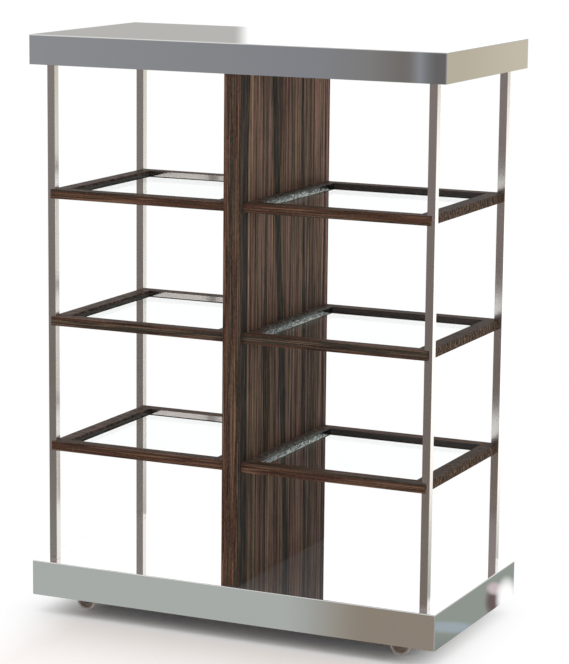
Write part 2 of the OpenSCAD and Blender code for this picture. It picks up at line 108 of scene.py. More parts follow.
class Wire:
    """An output socket that takes part in Python expressions."""

    def __init__(self, graph: "Graph", socket: Any) -> None:
        """Hold a socket and the graph that it belongs to."""
        self.graph = graph
        self.socket = socket

    def at(self, name: Key) -> "Wire":
        """Another output of the same node."""
        return Wire(self.graph, self.socket.node.outputs[name])

    def _calc(self, operation: str, first: Any, second: Any = 0.0) -> "Wire":
        """Add one Math node for its operands."""
        return self.graph.add("ShaderNodeMath", {"operation": operation}, {0: first, 1: second})

    def __add__(self, other: Any) -> "Wire":
        """Sum."""
        return self._calc("ADD", self, other)

    def __radd__(self, other: Any) -> "Wire":
        """Sum with the number first."""
        return self._calc("ADD", other, self)

    def __sub__(self, other: Any) -> "Wire":
        """Difference."""
        return self._calc("SUBTRACT", self, other)

    def __rsub__(self, other: Any) -> "Wire":
        """Difference with the number first."""
        return self._calc("SUBTRACT", other, self)

    def __mul__(self, other: Any) -> "Wire":
        """Product."""
        return self._calc("MULTIPLY", self, other)

    def __rmul__(self, other: Any) -> "Wire":
        """Product with the number first."""
        return self._calc("MULTIPLY", other, self)

    def __gt__(self, other: Any) -> "Wire":
        """One where the value is greater."""
        return self._calc("GREATER_THAN", self, other)

    def __lt__(self, other: Any) -> "Wire":
        """One where the value is less."""
        return self._calc("LESS_THAN", self, other)

    def __or__(self, other: Any) -> "Wire":
        """The larger of two values."""
        return self._calc("MAXIMUM", self, other)

    def angle_to(self, other: Any) -> "Wire":
        """Angle of the point whose sine side is this value and whose cosine side is the other."""
        return self._calc("ARCTAN2", self, other)

    def size(self) -> "Wire":
        """The value without its sign."""
        return self._calc("ABSOLUTE", self)

    def fraction(self) -> "Wire":
        """What is left of the value above its whole part."""
        return self._calc("FRACT", self)

    def arcsine(self) -> "Wire":
        """Angle whose sine is this value."""
        return self._calc("ARCSINE", self)

    def sine(self) -> "Wire":
        """Sine of this angle."""
        return self._calc("SINE", self)


class Graph:
    """A node tree that expressions fill."""

    # Places of a Mix node's colour sockets; its other types have sockets of the same names.
    MIX_SHARE = 0
    MIX_FIRST = 6
    MIX_SECOND = 7
    MIX_RESULT = 2

    # Upright part of a normal above which a face looks up.
    UPRIGHT = 0.5

    def __init__(self, tree: Any) -> None:
        """Take over a tree and empty it."""
        self.tree = tree
        tree.nodes.clear()

    def add(self, kind: str, settings: Optional[Mapping[str, Any]] = None,
            inputs: Optional[Mapping[Key, Any]] = None, out: Key = 0) -> Wire:
        """Add one node.

        Args:
            kind: The node's type.
            settings: Attributes set before the sockets; stops are those of a colour ramp.
            inputs: Values or wires for its input sockets.
            out: The output that is returned.

        Returns:
            The wire of that output.
        """
        node = self.tree.nodes.new(kind)
        for key, value in (settings or {}).items():
            if key == "stops":
                self._set_stops(node.color_ramp, value)
            else:
                setattr(node, key, value)
        for key, value in (inputs or {}).items():
            socket = node.inputs[key]
            if isinstance(value, Wire):
                self.tree.links.new(value.socket, socket)
            elif socket.type == "RGBA":
                socket.default_value = (*value, 1.0)
            else:
                socket.default_value = value
        return Wire(self, node.outputs[out]) if node.outputs else Wire(self, node.inputs[0])

    @staticmethod
    def _set_stops(ramp: Any, stops: Stops) -> None:
        """Give a colour ramp its stops.

        Args:
            ramp: The ramp of a node.
            stops: Places from 0 to 1 with their colours, lowest first.
        """
        while len(ramp.elements) < len(stops):
            ramp.elements.new(0.5)
        for element, (place, colour) in zip(ramp.elements, stops):
            element.position = place
            element.color = (*colour, 1.0)

    def ramp(self, value: Wire, stops: Stops) -> Wire:
        """Colour of a value along evenly blended stops."""
        return self.add("ShaderNodeValToRGB", {"stops": stops}, {"Fac": value})

    def mix(self, share: Any, first: Any, second: Any, mode: str = "MIX") -> Wire:
        """Blend two colours.

        Args:
            share: How much of the second colour is used.
            first: Colour at a share of 0.
            second: Colour at a share of 1.
            mode: Blend mode.

        Returns:
            The blended colour.
        """
        return self.add("ShaderNodeMix", {"data_type": "RGBA", "blend_type": mode},
                        {self.MIX_SHARE: share, self.MIX_FIRST: first, self.MIX_SECOND: second},
                        out=self.MIX_RESULT)

    def choose(self, share: Any, first: Wire, second: Wire) -> Wire:
        """Blend two shaders."""
        return self.add("ShaderNodeMixShader", None, {0: share, 1: first, 2: second})

    def fade(self, value: Wire, low: float, high: float) -> Wire:
        """Smooth step that is 0 at low and 1 at high."""
        return self.add("ShaderNodeMapRange", {"interpolation_type": "SMOOTHSTEP"},
                        {"Value": value, "From Min": low, "From Max": high})

    def span(self, value: Wire, limits: Span) -> Wire:
        """Straight rise from one limit to the other as the value goes from 0 to 1."""
        return self.add("ShaderNodeMapRange", None,
                        {"Value": value, "To Min": limits[0], "To Max": limits[1]})

    def place(self) -> Wire:
        """The point on the object, in metres."""
        return self.add("ShaderNodeTexCoord", out="Object")

    def parts(self, vector: Wire) -> Tuple[Wire, Wire, Wire]:
        """Three components of a vector."""
        split = self.add("ShaderNodeSeparateXYZ", None, {"Vector": vector})
        return split, split.at("Y"), split.at("Z")

    def point(self, x: Wire, y: Wire, z: Wire) -> Wire:
        """Vector from three components."""
        return self.add("ShaderNodeCombineXYZ", None, {"X": x, "Y": y, "Z": z})

    def upward(self) -> Wire:
        """One on faces that look up."""
        return self.parts(self.add("ShaderNodeNewGeometry", out="Normal"))[2] > self.UPRIGHT

    def cells(self, place: Wire, scale: float) -> Wire:
        """Cells that have a colour of their own each."""
        return self.add("ShaderNodeTexVoronoi", None, {"Vector": place, "Scale": scale}, out="Color")

    def surface(self, sockets: Mapping[Key, Any]) -> None:
        """Add the main shader and link it to the output."""
        self.finish(self.add("ShaderNodeBsdfPrincipled", None, sockets))

    def finish(self, shader: Wire) -> None:
        """Link a shader to the material's output."""
        self.add("ShaderNodeOutputMaterial", None, {"Surface": shader})


@dataclass(frozen=True)
class Mask:
    """Smooth mask: nothing at one value of a pattern and a full share at another."""

    none: float
    full: float
    share: float = 1.0

    def of(self, graph: Graph, value: Wire) -> Wire:
        """Mask of a value."""
        shape = graph.fade(value, self.none, self.full)
        return shape if self.share == 1.0 else shape * self.share


@dataclass(frozen=True)
class Window:
    """Mask that opens over one stretch of a value and closes over another."""

    start: float
    opened: float
    closing: float
    end: float

    def of(self, graph: Graph, value: Wire) -> Wire:
        """Mask of a value."""
        return graph.fade(value, self.start, self.opened) * graph.fade(value, self.end, self.closing)


@dataclass(frozen=True)
class Cloud:
    """Cloudy noise: features per metre, octaves and their strength, distortion, stretch and shift."""

    scale: float
    detail: float = 2.0
    rough: float = 0.5
    warp: float = 0.0
    stretch: Triple = (1.0, 1.0, 1.0)
    shift: Triple = (0.0, 0.0, 0.0)

    def of(self, graph: Graph, place: Wire, times: float = 1.0) -> Wire:
        """Noise at a place.

        Args:
            graph: The material's graph.
            place: Point that is looked up.
            times: Factor on the scale.

        Returns:
            A value about the middle one.
        """
        moved = graph.add("ShaderNodeVectorMath", {"operation": "MULTIPLY_ADD"},
                          {0: place, 1: self.stretch, 2: self.shift})
        return graph.add("ShaderNodeTexNoise", None,
                         {"Vector": moved, "Scale": self.scale * times, "Detail": self.detail,
                          "Roughness": self.rough, "Distortion": self.warp})


@dataclass(frozen=True)
class Relief:
    """Small bumps: their depth in metres and how strongly they show."""

    depth: float
    strength: float

    def of(self, graph: Graph, height: Wire) -> Wire:
        """Normal that stands up where the height is great."""
        return graph.add("ShaderNodeBump", None,
                         {"Strength": self.strength, "Distance": self.depth, "Height": height})


@dataclass(frozen=True)
class ShelfSizes:
    """Sizes of the shelves that their finishes follow, in metres."""

    inner_x: float
    inner_y: float
    panel_x: float
    foot: float
    rail_rise: float
    strip_rise: float
    step: float

    @classmethod
    def from_frame(cls) -> "ShelfSizes":
        """Take the sizes from the shelves on the left.

        Returns:
            The sizes.
        """
        rails_low, rails_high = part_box("shelf_frame_left_lower")
        strip_low, strip_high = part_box("shelf_trim_left_lower")
        next_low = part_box("shelf_trim_left_middle")[0]
        rail_width = rails_high.y - strip_high.y
        return cls(inner_x=-rails_low.x - rail_width, inner_y=strip_high.y, panel_x=-strip_high.x,
                   foot=strip_low.z, rail_rise=rails_high.z - strip_low.z,
                   strip_rise=strip_high.z - strip_low.z, step=next_low.z - strip_low.z)

    def height(self, z: Wire, rise: float) -> Wire:
        """Height over the pane of a shelf, as a share of a rise."""
        return ((z - self.foot) * (1.0 / self.step)).fraction() * (self.step / rise)


SHELF = ShelfSizes.from_frame()


@dataclass(frozen=True)
class Finish:
    """A finish that paints one material."""

    name: str

    def paint(self, graph: Graph) -> None:
        """Fill the material's graph."""
        raise NotImplementedError

    @cached_property
    def material(self) -> bpy.types.Material:
        """The material of this finish, made when it is first asked for.

        Returns:
            The material.
        """
        made = bpy.data.materials.new(self.name)
        made.use_nodes = True
        self.paint(Graph(made.node_tree))
        return made


@dataclass(frozen=True)
class PolishedSteel(Finish):
    """Mirror-polished sheet with faint wipe marks."""

    tint: Colour = (STEEL_SHARE, STEEL_SHARE, STEEL_SHARE)
    haze: float = 0.0
    wipes: Cloud = Cloud(9.0, 4.0, 0.6, 0.6)
    wiped: Mask = Mask(0.4, 0.8, 0.5)
    wiped_share: float = 0.965
    pits: Cloud = Cloud(420.0)
    pitted: Relief = Relief(0.00002, 0.03)

    def paint(self, graph: Graph) -> None:
        """Paint a clear mirror with wipe marks and tiny pits, hazed where it faces up.

        Args:
            graph: The material's graph.
        """
        place = graph.place()
        wiped = self.wiped.of(graph, self.wipes.of(graph, place))
        graph.surface({"Base Color": graph.mix(wiped, self.tint, dimmed(self.tint, self.wiped_share)),
                       "Metallic": 1.0 - graph.upward() * self.haze if self.haze else 1.0,
                       "Roughness": 0.0,
                       "Normal": self.pitted.of(graph, self.pits.of(graph, place))})


@dataclass(frozen=True)
class SatinSteel(Finish):
    """Warm steel tube, finely ground along its length."""

    tint: Colour = (0.80, 0.765, 0.74)
    matt: float = 0.20
    matt_reach: Span = (0.85, 1.2)
    lines: Cloud = Cloud(2200.0, stretch=(1.0, 1.0, 0.01))
    lined: Mask = Mask(0.35, 0.7, 0.5)
    lined_share: float = 0.9
    cloud: Cloud = Cloud(7.0, 3.0)

    def paint(self, graph: Graph) -> None:
        """Paint metal with fine lengthwise grinding lines.

        Args:
            graph: The material's graph.
        """
        place = graph.place()
        lined = self.lined.of(graph, self.lines.of(graph, place))
        low, high = self.matt_reach
        graph.surface({"Base Color": graph.mix(lined, self.tint, dimmed(self.tint, self.lined_share)),
                       "Metallic": 1.0,
                       "Roughness": graph.span(self.cloud.of(graph, place),
                                               (self.matt * low, self.matt * high))})


@dataclass(frozen=True)
class PlatedSteel(Finish):
    """Zinc-plated hardware with a mottled, softly bright skin."""

    tint: Colour = (0.55, 0.56, 0.58)
    spangle_scale: float = 260.0
    spangle_share: float = 0.18
    cloud: Cloud = Cloud(60.0, 3.0)
    matt_reach: Span = (0.22, 0.46)

    def paint(self, graph: Graph) -> None:
        """Paint mottled bright metal.

        Args:
            graph: The material's graph.
        """
        place = graph.place()
        spangle = graph.cells(place, self.spangle_scale)
        graph.surface({"Base Color": graph.mix(self.spangle_share, self.tint, spangle, "OVERLAY"),
                       "Metallic": 1.0,
                       "Roughness": graph.span(self.cloud.of(graph, place), self.matt_reach)})


def streaks(scale: float, run: float, shift: float, detail: float = 1.0) -> Cloud:
    """Noise drawn out along the grain, which is the third axis, and set aside across it."""
    return Cloud(scale, detail, rough=0.55, stretch=(1.0, 1.0, run), shift=(0.0, shift, 0.0))


@dataclass(frozen=True)
class StripedVeneer(Finish):
    """Dark striped veneer under a thin matt lacquer."""

    palette: Stops = ((0.30, srgb(56, 43, 37)), (0.38, srgb(104, 74, 56)), (0.45, srgb(82, 52, 42)),
                      (0.50, srgb(92, 66, 55)), (0.55, srgb(72, 48, 42)), (0.62, srgb(78, 60, 49)),
                      (0.70, srgb(114, 81, 61)))
    line: Colour = srgb(34, 27, 24)
    gleam: Colour = srgb(134, 106, 86)
    band: Colour = srgb(44, 53, 48)
    pitch: float = 170.0
    body: Cloud = streaks(1.0, 0.010, 0.0, 2.0)
    bands: Cloud = streaks(0.42, 0.006, 7.7)
    banded: Mask = Mask(0.575, 0.60, 0.7)
    gleams: Cloud = streaks(2.1, 0.012, 4.3)
    gleaming: Mask = Mask(0.56, 0.64, 0.55)
    lines: Cloud = streaks(2.6, 0.012, 1.9)
    lined: Mask = Mask(0.54, 0.60, 0.75)
    grit: Cloud = streaks(900.0, 0.12, 2.7, 2.0)
    grit_dark: Mask = Mask(0.50, 0.68, 0.40)
    grit_light: Mask = Mask(0.48, 0.32, 0.25)
    pores: Cloud = Cloud(1100.0)
    pored: Mask = Mask(0.35, 0.65)
    pore_relief: Relief = Relief(0.0002, 0.12)
    gloss: float = 0.02
    matt_reach: Span = (0.42, 0.58)

    def figure(self, graph: Graph, grain: Wire) -> Wire:
        """Stripes that run along the grain.

        Args:
            graph: The material's graph.
            grain: Point whose third component lies along the grain.

        Returns:
            The colour of the wood.
        """
        wood = graph.ramp(self.body.of(graph, grain, self.pitch), self.palette)
        for cloud, mask, colour in ((self.bands, self.banded, self.band),
                                    (self.gleams, self.gleaming, self.gleam),
                                    (self.lines, self.lined, self.line)):
            wood = graph.mix(mask.of(graph, cloud.of(graph, grain, self.pitch)), wood, colour)
        grit = self.grit.of(graph, grain)
        return self.flecked(graph, wood, grit, self.grit_dark, self.grit_light)

    def flecked(self, graph: Graph, wood: Wire, fleck: Wire, dark: Mask, light: Mask) -> Wire:
        """Dark and light flecks over the wood.

        Args:
            graph: The material's graph.
            wood: Colour below the flecks.
            fleck: Pattern of the flecks.
            dark: Where the flecks are dark.
            light: Where they are light.

        Returns:
            The colour with the flecks.
        """
        wood = graph.mix(dark.of(graph, fleck), wood, self.line)
        return graph.mix(light.of(graph, fleck), wood, self.gleam)

    def colour(self, graph: Graph, place: Wire) -> Wire:
        """Colour of the wood at a place; the grain is upright."""
        return self.figure(graph, place)

    def paint(self, graph: Graph) -> None:
        """Paint the wood, its pores and its lacquer.

        Args:
            graph: The material's graph.
        """
        place = graph.place()
        pore = self.pores.of(graph, place)
        graph.surface({"Base Color": self.colour(graph, place),
                       "Roughness": graph.span(self.pored.of(graph, pore), self.matt_reach),
                       "Specular IOR Level": self.gloss,
                       "Normal": self.pore_relief.of(graph, pore)})


@dataclass(frozen=True)
class Band:
    """A broad dark band of the panel: its middle, half its width, and its lean over the height."""

    middle: float
    half: float
    lean: float = 0.0


@dataclass(frozen=True)
class PanelVeneer(StripedVeneer):
    """Veneer of the centre panel, with broad dark bands that lean a little and painted shade that darkens
    its foot.
    """

    palette: Stops = ((0.30, srgb(42, 38, 37)), (0.37, srgb(176, 139, 117)), (0.43, srgb(98, 64, 58)),
                      (0.48, srgb(158, 125, 113)), (0.53, srgb(56, 45, 45)), (0.58, srgb(150, 127, 100)),
                      (0.64, srgb(72, 48, 46)), (0.70, srgb(184, 146, 121)))
    band: Colour = srgb(34, 41, 40)
    pitch: float = 80.0
    body: Cloud = streaks(0.40, 0.010, 0.0, 2.0)
    gleams: Cloud = streaks(0.9, 0.012, 4.3)
    lines: Cloud = streaks(1.0, 0.012, 1.9)
    broad: Tuple[Band, ...] = (Band(-0.256, 0.020), Band(-0.042, 0.016, -0.075),
                               Band(0.118, 0.008, -0.03), Band(0.283, 0.007))
    broad_edge: Mask = Mask(1.25, 0.75, 0.85)
    lean_from: float = 1.0
    sway: Cloud = Cloud(1.0, stretch=(1.0, 40.0, 1.5))
    sway_reach: float = 0.006
    flecks: Cloud = Cloud(150.0, stretch=(1.0, 1.0, 0.08))
    fleck_dark: Mask = Mask(0.52, 0.66, 0.40)
    fleck_light: Mask = Mask(0.48, 0.34, 0.25)
    # Painted shade: factor that darkens the panel below the given heights, towards its foot.
    foot: Colour = (0.66, 0.69, 0.70)
    foot_shade_rise: Mask = Mask(1.5, 0.6)

    def colour(self, graph: Graph, place: Wire) -> Wire:
        """Stripes with the panel's own bands laid over them, and painted shade towards the foot.

        Args:
            graph: The material's graph.
            place: The point on the panel.

        Returns:
            The colour.
        """
        _, y, z = graph.parts(place)
        wood = self.figure(graph, place)
        sway = (self.sway.of(graph, place) - NOISE_MIDDLE) * self.sway_reach
        for band in self.broad:
            reach = (y + sway - (z - self.lean_from) * band.lean - band.middle) * (1.0 / band.half)
            wood = graph.mix(self.broad_edge.of(graph, reach * reach), wood, self.band)
        wood = self.flecked(graph, wood, self.flecks.of(graph, place), self.fleck_dark, self.fleck_light)
        # Painted shade that darkens the panel towards its foot.
        return graph.mix(self.foot_shade_rise.of(graph, z), wood, self.foot, "MULTIPLY")


@dataclass(frozen=True)
class RailVeneer(StripedVeneer):
    """Veneer of the shelf rails: long rails along the grain, side rails across it."""

    # Painted shade: the lipping's veneer at 0.80 of its lightness, so the rails read darker than the
    # lipping.
    palette: Stops = shaded(StripedVeneer.palette, 0.80)
    sizes: ShelfSizes = SHELF
    skin: float = 0.0004
    ease: Mask = Mask(0.42, 0.66)
    # Painted shade on the inner faces of the rails; on the side rails it is lighter, with a painted
    # grey-green sheen.
    inner_painted_shade: Colour = srgb(66, 64, 64)
    side_inner_shade_sheen: Colour = srgb(88, 93, 91)
    inner_shade_share: float = 0.8
    curl: Stops = ((0.0, srgb(42, 34, 30)), (0.45, srgb(54, 42, 35)), (0.8, srgb(97, 78, 61)),
                   (1.0, srgb(116, 93, 74)))
    curl_scale: float = 24.0
    curl_swirl: float = 11.0
    swirl_detail: float = 3.0
    swirl_scale: float = 1.6
    swirl_rough: float = 0.6
    curl_grit: Cloud = Cloud(900.0, stretch=(0.2, 1.0, 0.2))
    curl_dark: Mask = Mask(0.5, 0.68, 0.4)
    crown: Stops = ((0.36, srgb(58, 49, 46)), (0.50, srgb(86, 72, 66)), (0.62, srgb(114, 91, 85)))
    crown_cloud: Cloud = Cloud(70.0, stretch=(0.4, 1.0, 1.0))
    # On the shelves to the right the tops take less of the cloudy colour and a painted shade of the dark
    # line colour.
    crown_share: Span = (0.7, 0.2)
    right_top_shade: float = 0.35
    specks: Cloud = Cloud(130.0, rough=0.7)
    # Painted glints (bright greenish specks) and painted reflection (a dark green-grey patch) on the rail
    # tops beside the strips.
    glint_reach: float = 0.032
    glint_ends: Mask = Mask(0.225, 0.15)
    glint_gain: float = 0.16
    glint_mask: Mask = Mask(0.58, 0.70)
    painted_glint: Colour = srgb(142, 150, 145)
    painted_reflection: Colour = srgb(66, 70, 68)
    reflection_share: float = 0.7

    def colour(self, graph: Graph, place: Wire) -> Wire:
        """Stripes along the long rails, curls round the side rails, and painted shade on the inner faces.

        Args:
            graph: The material's graph.
            place: The point on the rails.

        Returns:
            The colour.
        """
        x, y, z = graph.parts(place)
        wide, deep = x.size(), y.size()
        sizes = self.sizes
        mitre = (wide - sizes.inner_x) | (sizes.panel_x - wide)
        end = (deep - sizes.inner_y) < mitre
        within = (deep < sizes.inner_y + self.skin) * (mitre < self.skin)
        eased = within * end * self.ease.of(graph, sizes.height(z, sizes.rail_rise))
        long_rail = self.figure(graph, graph.point(z, y, x))
        rail = graph.mix(end, long_rail, self.side_rail(graph, place, eased))
        # Painted shade over the inner faces, below the part that takes the look of the top.
        return graph.mix(within * (1.0 - eased) * self.inner_shade_share, rail,
                         graph.mix(end, self.inner_painted_shade, self.side_inner_shade_sheen))

    def side_rail(self, graph: Graph, place: Wire, eased: Wire) -> Wire:
        """Curls round a side rail, with a cloudy top that takes painted shade on the shelves to the
        right.

        Args:
            graph: The material's graph.
            place: The point on the rails.
            eased: One where the look of the top runs over an inner face.

        Returns:
            The colour.
        """
        wave = graph.add("ShaderNodeTexWave", {"bands_direction": "Y"},
                         {"Vector": place, "Scale": self.curl_scale, "Distortion": self.curl_swirl,
                          "Detail": self.swirl_detail, "Detail Scale": self.swirl_scale,
                          "Detail Roughness": self.swirl_rough})
        grit = self.curl_dark.of(graph, self.curl_grit.of(graph, place))
        rail = graph.mix(grit, graph.ramp(wave, self.curl), self.line)
        right = graph.parts(place)[0] > self.sizes.panel_x
        upward = graph.upward()
        crowned = upward | eased
        crown = graph.ramp(self.crown_cloud.of(graph, place), self.crown)
        # Painted shade: the tops on the right take less of the cloudy colour and are darkened.
        rail = graph.mix(crowned * graph.span(right, self.crown_share), rail, crown)
        rail = graph.mix(crowned * right * self.right_top_shade, rail, self.line)
        return self.glinted_top(graph, place, rail, upward)

    def glinted_top(self, graph: Graph, place: Wire, rail: Wire, upward: Wire) -> Wire:
        """Painted dark reflection and painted bright glints on the rail tops beside the strips.

        Args:
            graph: The material's graph.
            place: The point on the rails.
            rail: Colour below the specks.
            upward: One on faces that look up.

        Returns:
            The colour with the specks.
        """
        x, y, _ = graph.parts(place)
        edge = self.sizes.panel_x
        near = graph.fade(x.size(), edge - self.glint_reach, edge)
        beside = upward * (x.size() < edge) * self.glint_ends.of(graph, y.size())
        glint_mask = beside * self.glint_mask.of(graph, self.specks.of(graph, place) + near * self.glint_gain)
        # Painted reflection, then painted glints over it.
        rail = graph.mix(beside * near * self.reflection_share, rail, self.painted_reflection)
        return graph.mix(glint_mask, rail, self.painted_glint)


@dataclass(frozen=True)
class SpeckledStrip(Finish):
    """Bright strip with a hammered face, with painted shade along its upper edge and towards the front.
    """

    # Painted shade: the strip's colour along its upper edge and towards the front.
    painted_shade: Colour = (0.042, 0.052, 0.050)
    bright: Colour = (0.335, 0.36, 0.335)
    sizes: ShelfSizes = SHELF
    specks: Cloud = Cloud(100.0, rough=0.7, stretch=(1.0, 1.0, 1.8))
    speck_reach: float = 7.0
    upper_edge_shade: Mask = Mask(0.60, 0.05)
    front_shade: Mask = Mask(-0.22, 0.02)
    front_shade_reach: Span = (0.3, 1.0)
    matt_reach: Span = (0.15, 0.35)
    hammered: Relief = Relief(0.0004, 0.3)

    def paint(self, graph: Graph) -> None:
        """Paint speckles that grow brighter towards the pane, under painted shade along the upper edge
        and towards the front.

        Args:
            graph: The material's graph.
        """
        place = graph.place()
        _, y, z = graph.parts(place)
        speck = self.specks.of(graph, place)
        height = self.sizes.height(z, self.sizes.strip_rise) + (speck - NOISE_MIDDLE) * self.speck_reach
        front_shade = graph.span(self.front_shade.of(graph, y), self.front_shade_reach)
        # Painted shade along the upper edge and towards the front.
        share = self.upper_edge_shade.of(graph, height) * front_shade
        graph.surface({"Base Color": graph.mix(share, self.painted_shade, self.bright), "Metallic": 1.0,
                       "Roughness": graph.span(speck, self.matt_reach),
                       "Normal": self.hammered.of(graph, speck)})


@dataclass(frozen=True)
class ClearGlass(Finish):
    """Clear float glass with a faint green body and a bloomed, barely reflecting face."""

    tint: Colour = (0.988, 0.997, 0.994)
    shadow: Colour = (0.93, 0.96, 0.95)
    bending: float = 1.5
    reflex: float = 0.12
    smears: Cloud = Cloud(14.0, 4.0, 0.6)
    smeared: Mask = Mask(0.6, 0.9)
    matt_reach: Span = (0.0, 0.01)

    def paint(self, graph: Graph) -> None:
        """Paint glass that lets light through to what stands below it.

        Args:
            graph: The material's graph.
        """
        smeared = self.smeared.of(graph, self.smears.of(graph, graph.place()))
        glass = graph.add("ShaderNodeBsdfPrincipled", None, {
            "Base Color": self.tint, "Transmission Weight": 1.0, "IOR": self.bending,
            "Roughness": graph.span(smeared, self.matt_reach)})
        through = graph.add("ShaderNodeBsdfRefraction", None,
                            {"Color": self.tint, "IOR": self.bending, "Roughness": 0.0})
        pane = graph.choose(self.reflex, through, glass)
        path = graph.add("ShaderNodeLightPath", out="Is Shadow Ray")
        clear = graph.add("ShaderNodeBsdfTransparent", None, {"Color": self.shadow})
        graph.finish(graph.choose(path | path.at("Is Diffuse Ray"), pane, clear))


@dataclass(frozen=True)
class Painted(Finish):
    """Satin paint with a fine orange-peel skin."""

    tint: Colour = (0.045, 0.045, 0.048)
    dust: Colour = (0.10, 0.098, 0.092)
    dust_cloud: Cloud = Cloud(12.0, 4.0, 0.6)
    dusty: Mask = Mask(0.5, 0.8, 0.5)
    matt_reach: Span = (0.35, 0.55)
    peel: Cloud = Cloud(700.0)
    peel_relief: Relief = Relief(0.0001, 0.2)

    def paint(self, graph: Graph) -> None:
        """Paint a dark satin coat.

        Args:
            graph: The material's graph.
        """
        place = graph.place()
        dust = self.dust_cloud.of(graph, place)
        graph.surface({"Base Color": graph.mix(self.dusty.of(graph, dust), self.tint, self.dust),
                       "Roughness": graph.span(dust, self.matt_reach),
                       "Normal": self.peel_relief.of(graph, self.peel.of(graph, place))})


@dataclass(frozen=True)
class Board(Finish):
    """Raw wood-based board."""

    tint: Colour = srgb(190, 162, 128)
    chip_scale: float = 160.0
    chip_share: float = 0.22
    fibre: Colour = srgb(140, 112, 82)
    fibres: Cloud = Cloud(600.0, 3.0)
    fibrous: Mask = Mask(0.5, 0.75, 0.3)
    matt_reach: Span = (0.75, 0.9)
    fibre_relief: Relief = Relief(0.0003, 0.3)

    def paint(self, graph: Graph) -> None:
        """Paint pressed chips and fibres.

        Args:
            graph: The material's graph.
        """
        place = graph.place()
        fibre = self.fibres.of(graph, place)
        chips = graph.mix(self.chip_share, self.tint, graph.cells(place, self.chip_scale), "SOFT_LIGHT")
        graph.surface({"Base Color": graph.mix(self.fibrous.of(graph, fibre), chips, self.fibre),
                       "Roughness": graph.span(fibre, self.matt_reach),
                       "Normal": self.fibre_relief.of(graph, fibre)})


@dataclass(frozen=True)
class Moulding(Finish):
    """Moulded plastic or rubber with a fine matt grain."""

    tint: Colour
    matt: float = 0.5
    matt_reach: Span = (-0.08, 0.12)
    scuffs: Cloud = Cloud(45.0, 4.0, 0.65)
    scuffed: Mask = Mask(0.48, 0.72, 0.6)
    worn_gain: float = 1.35
    worn_lift: float = 0.012
    grain: Cloud = Cloud(1800.0)
    grain_relief: Relief = Relief(0.0001, 0.2)

    def paint(self, graph: Graph) -> None:
        """Paint an even body with scuffs and a fine grain.

        Args:
            graph: The material's graph.
        """
        place = graph.place()
        scuff = self.scuffs.of(graph, place)
        worn = tuple(min(1.0, channel * self.worn_gain + self.worn_lift) for channel in self.tint)
        low, high = self.matt_reach
        graph.surface({"Base Color": graph.mix(self.scuffed.of(graph, scuff), self.tint, worn),
                       "Roughness": graph.span(scuff, (self.matt + low, self.matt + high)),
                       "Normal": self.grain_relief.of(graph, self.grain.of(graph, place))})


def dress(node: str, finish: Finish, edge: float = 0.0) -> None:
    """Give a node of the frame its finish and soften its edges.

    Args:
        node: Name of the node.
        finish: Finish that it takes.
        edge: Width of the edge rounding in metres, or 0 for none.
    """
    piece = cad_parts[node]
    piece.data.materials.clear()
    piece.data.materials.append(finish.material)
    if edge:
        weld = piece.modifiers.new("weld", "WELD")
        weld.merge_threshold = WELD_REACH
        bevel = piece.modifiers.new("edge", "BEVEL")
        bevel.width = edge
        bevel.segments = EDGE_STEPS
        bevel.limit_method = "ANGLE"
        bevel.angle_limit = EDGE_ANGLE
        bevel.harden_normals = True
    LOG.info("dressed %s with %s", node, finish.name)


class Side(Enum):
    """Side of the centre panel."""

    LEFT = "left"
    RIGHT = "right"


class Level(Enum):
    """Height of a shelf."""

    LOWER = "lower"
    MIDDLE = "middle"
    UPPER = "upper"


class Corner(Enum):
    """Corner of the unit."""

    FRONT_LEFT = "front_left"
    FRONT_RIGHT = "front_right"
    REAR_LEFT = "rear_left"
    REAR_RIGHT = "rear_right"


def strip_finishes() -> Dict[Side, Finish]:
    """Finishes of the strips on the panes."""
    return {Side.LEFT: SatinSteel("strip_left", tint=(0.55, 0.51, 0.485), matt=0.1),
            Side.RIGHT: SpeckledStrip("strip_right")}


@dataclass
class Workshop:
    """All finishes of the unit."""

    steel: Finish = PolishedSteel("polished_steel")
    deck: Finish = PolishedSteel("deck_steel", haze=0.07)
    satin: Finish = SatinSteel("satin_steel")
    strips: Dict[Side, Finish] = field(default_factory=strip_finishes)
    plated: Finish = PlatedSteel("plated_steel")
    bronzed: Finish = PlatedSteel("bronzed_steel", tint=(0.28, 0.24, 0.215))
    panel: Finish = PanelVeneer("panel_veneer")
    lipping: Finish = StripedVeneer("lipping_veneer")
    rail: Finish = RailVeneer("rail_veneer")
    glass: Finish = ClearGlass("clear_glass")
    paint: Finish = Painted("chassis_paint")
    board: Finish = Board("raw_board")
    dowel: Finish = Board("dowel_wood", tint=srgb(205, 170, 122))
    hub: Finish = Moulding("hub_plastic", tint=srgb(150, 133, 122))
    tyre: Finish = Moulding("tyre_rubber", tint=srgb(198, 191, 183), matt=0.62)


@dataclass
class Worktop:
    """Steel worktop with its core and soffit."""

    def dress(self, shop: Workshop) -> None:
        """Dress the three layers of the worktop.

        Args:
            shop: The finishes.
        """
        dress("top_casing", shop.steel)
        dress("top_core", shop.board)
        dress("top_soffit", shop.steel)


@dataclass
class Base:
    """Steel base with deck and chassis."""

    edge: float = 0.002

    def dress(self, shop: Workshop) -> None:
        """Dress the casing and what it hides.

        Args:
            shop: The finishes.
        """
        dress("base_casing", shop.deck)
        dress("base_deck", shop.board)
        dress("base_chassis", shop.paint, self.edge)


@dataclass
class Posts:
    """Four posts with their plugs and bolts."""

    edge: float = 0.0006
    bolt_edge: float = 0.0004

    def dress(self, shop: Workshop) -> None:
        """Dress the tubes and their fixings.

        Args:
            shop: The finishes.
        """
        for corner in Corner:
            dress(f"post_{corner.value}", shop.satin, self.edge)
        dress("post_plugs", shop.plated)
        dress("post_bolts", shop.plated, self.bolt_edge)


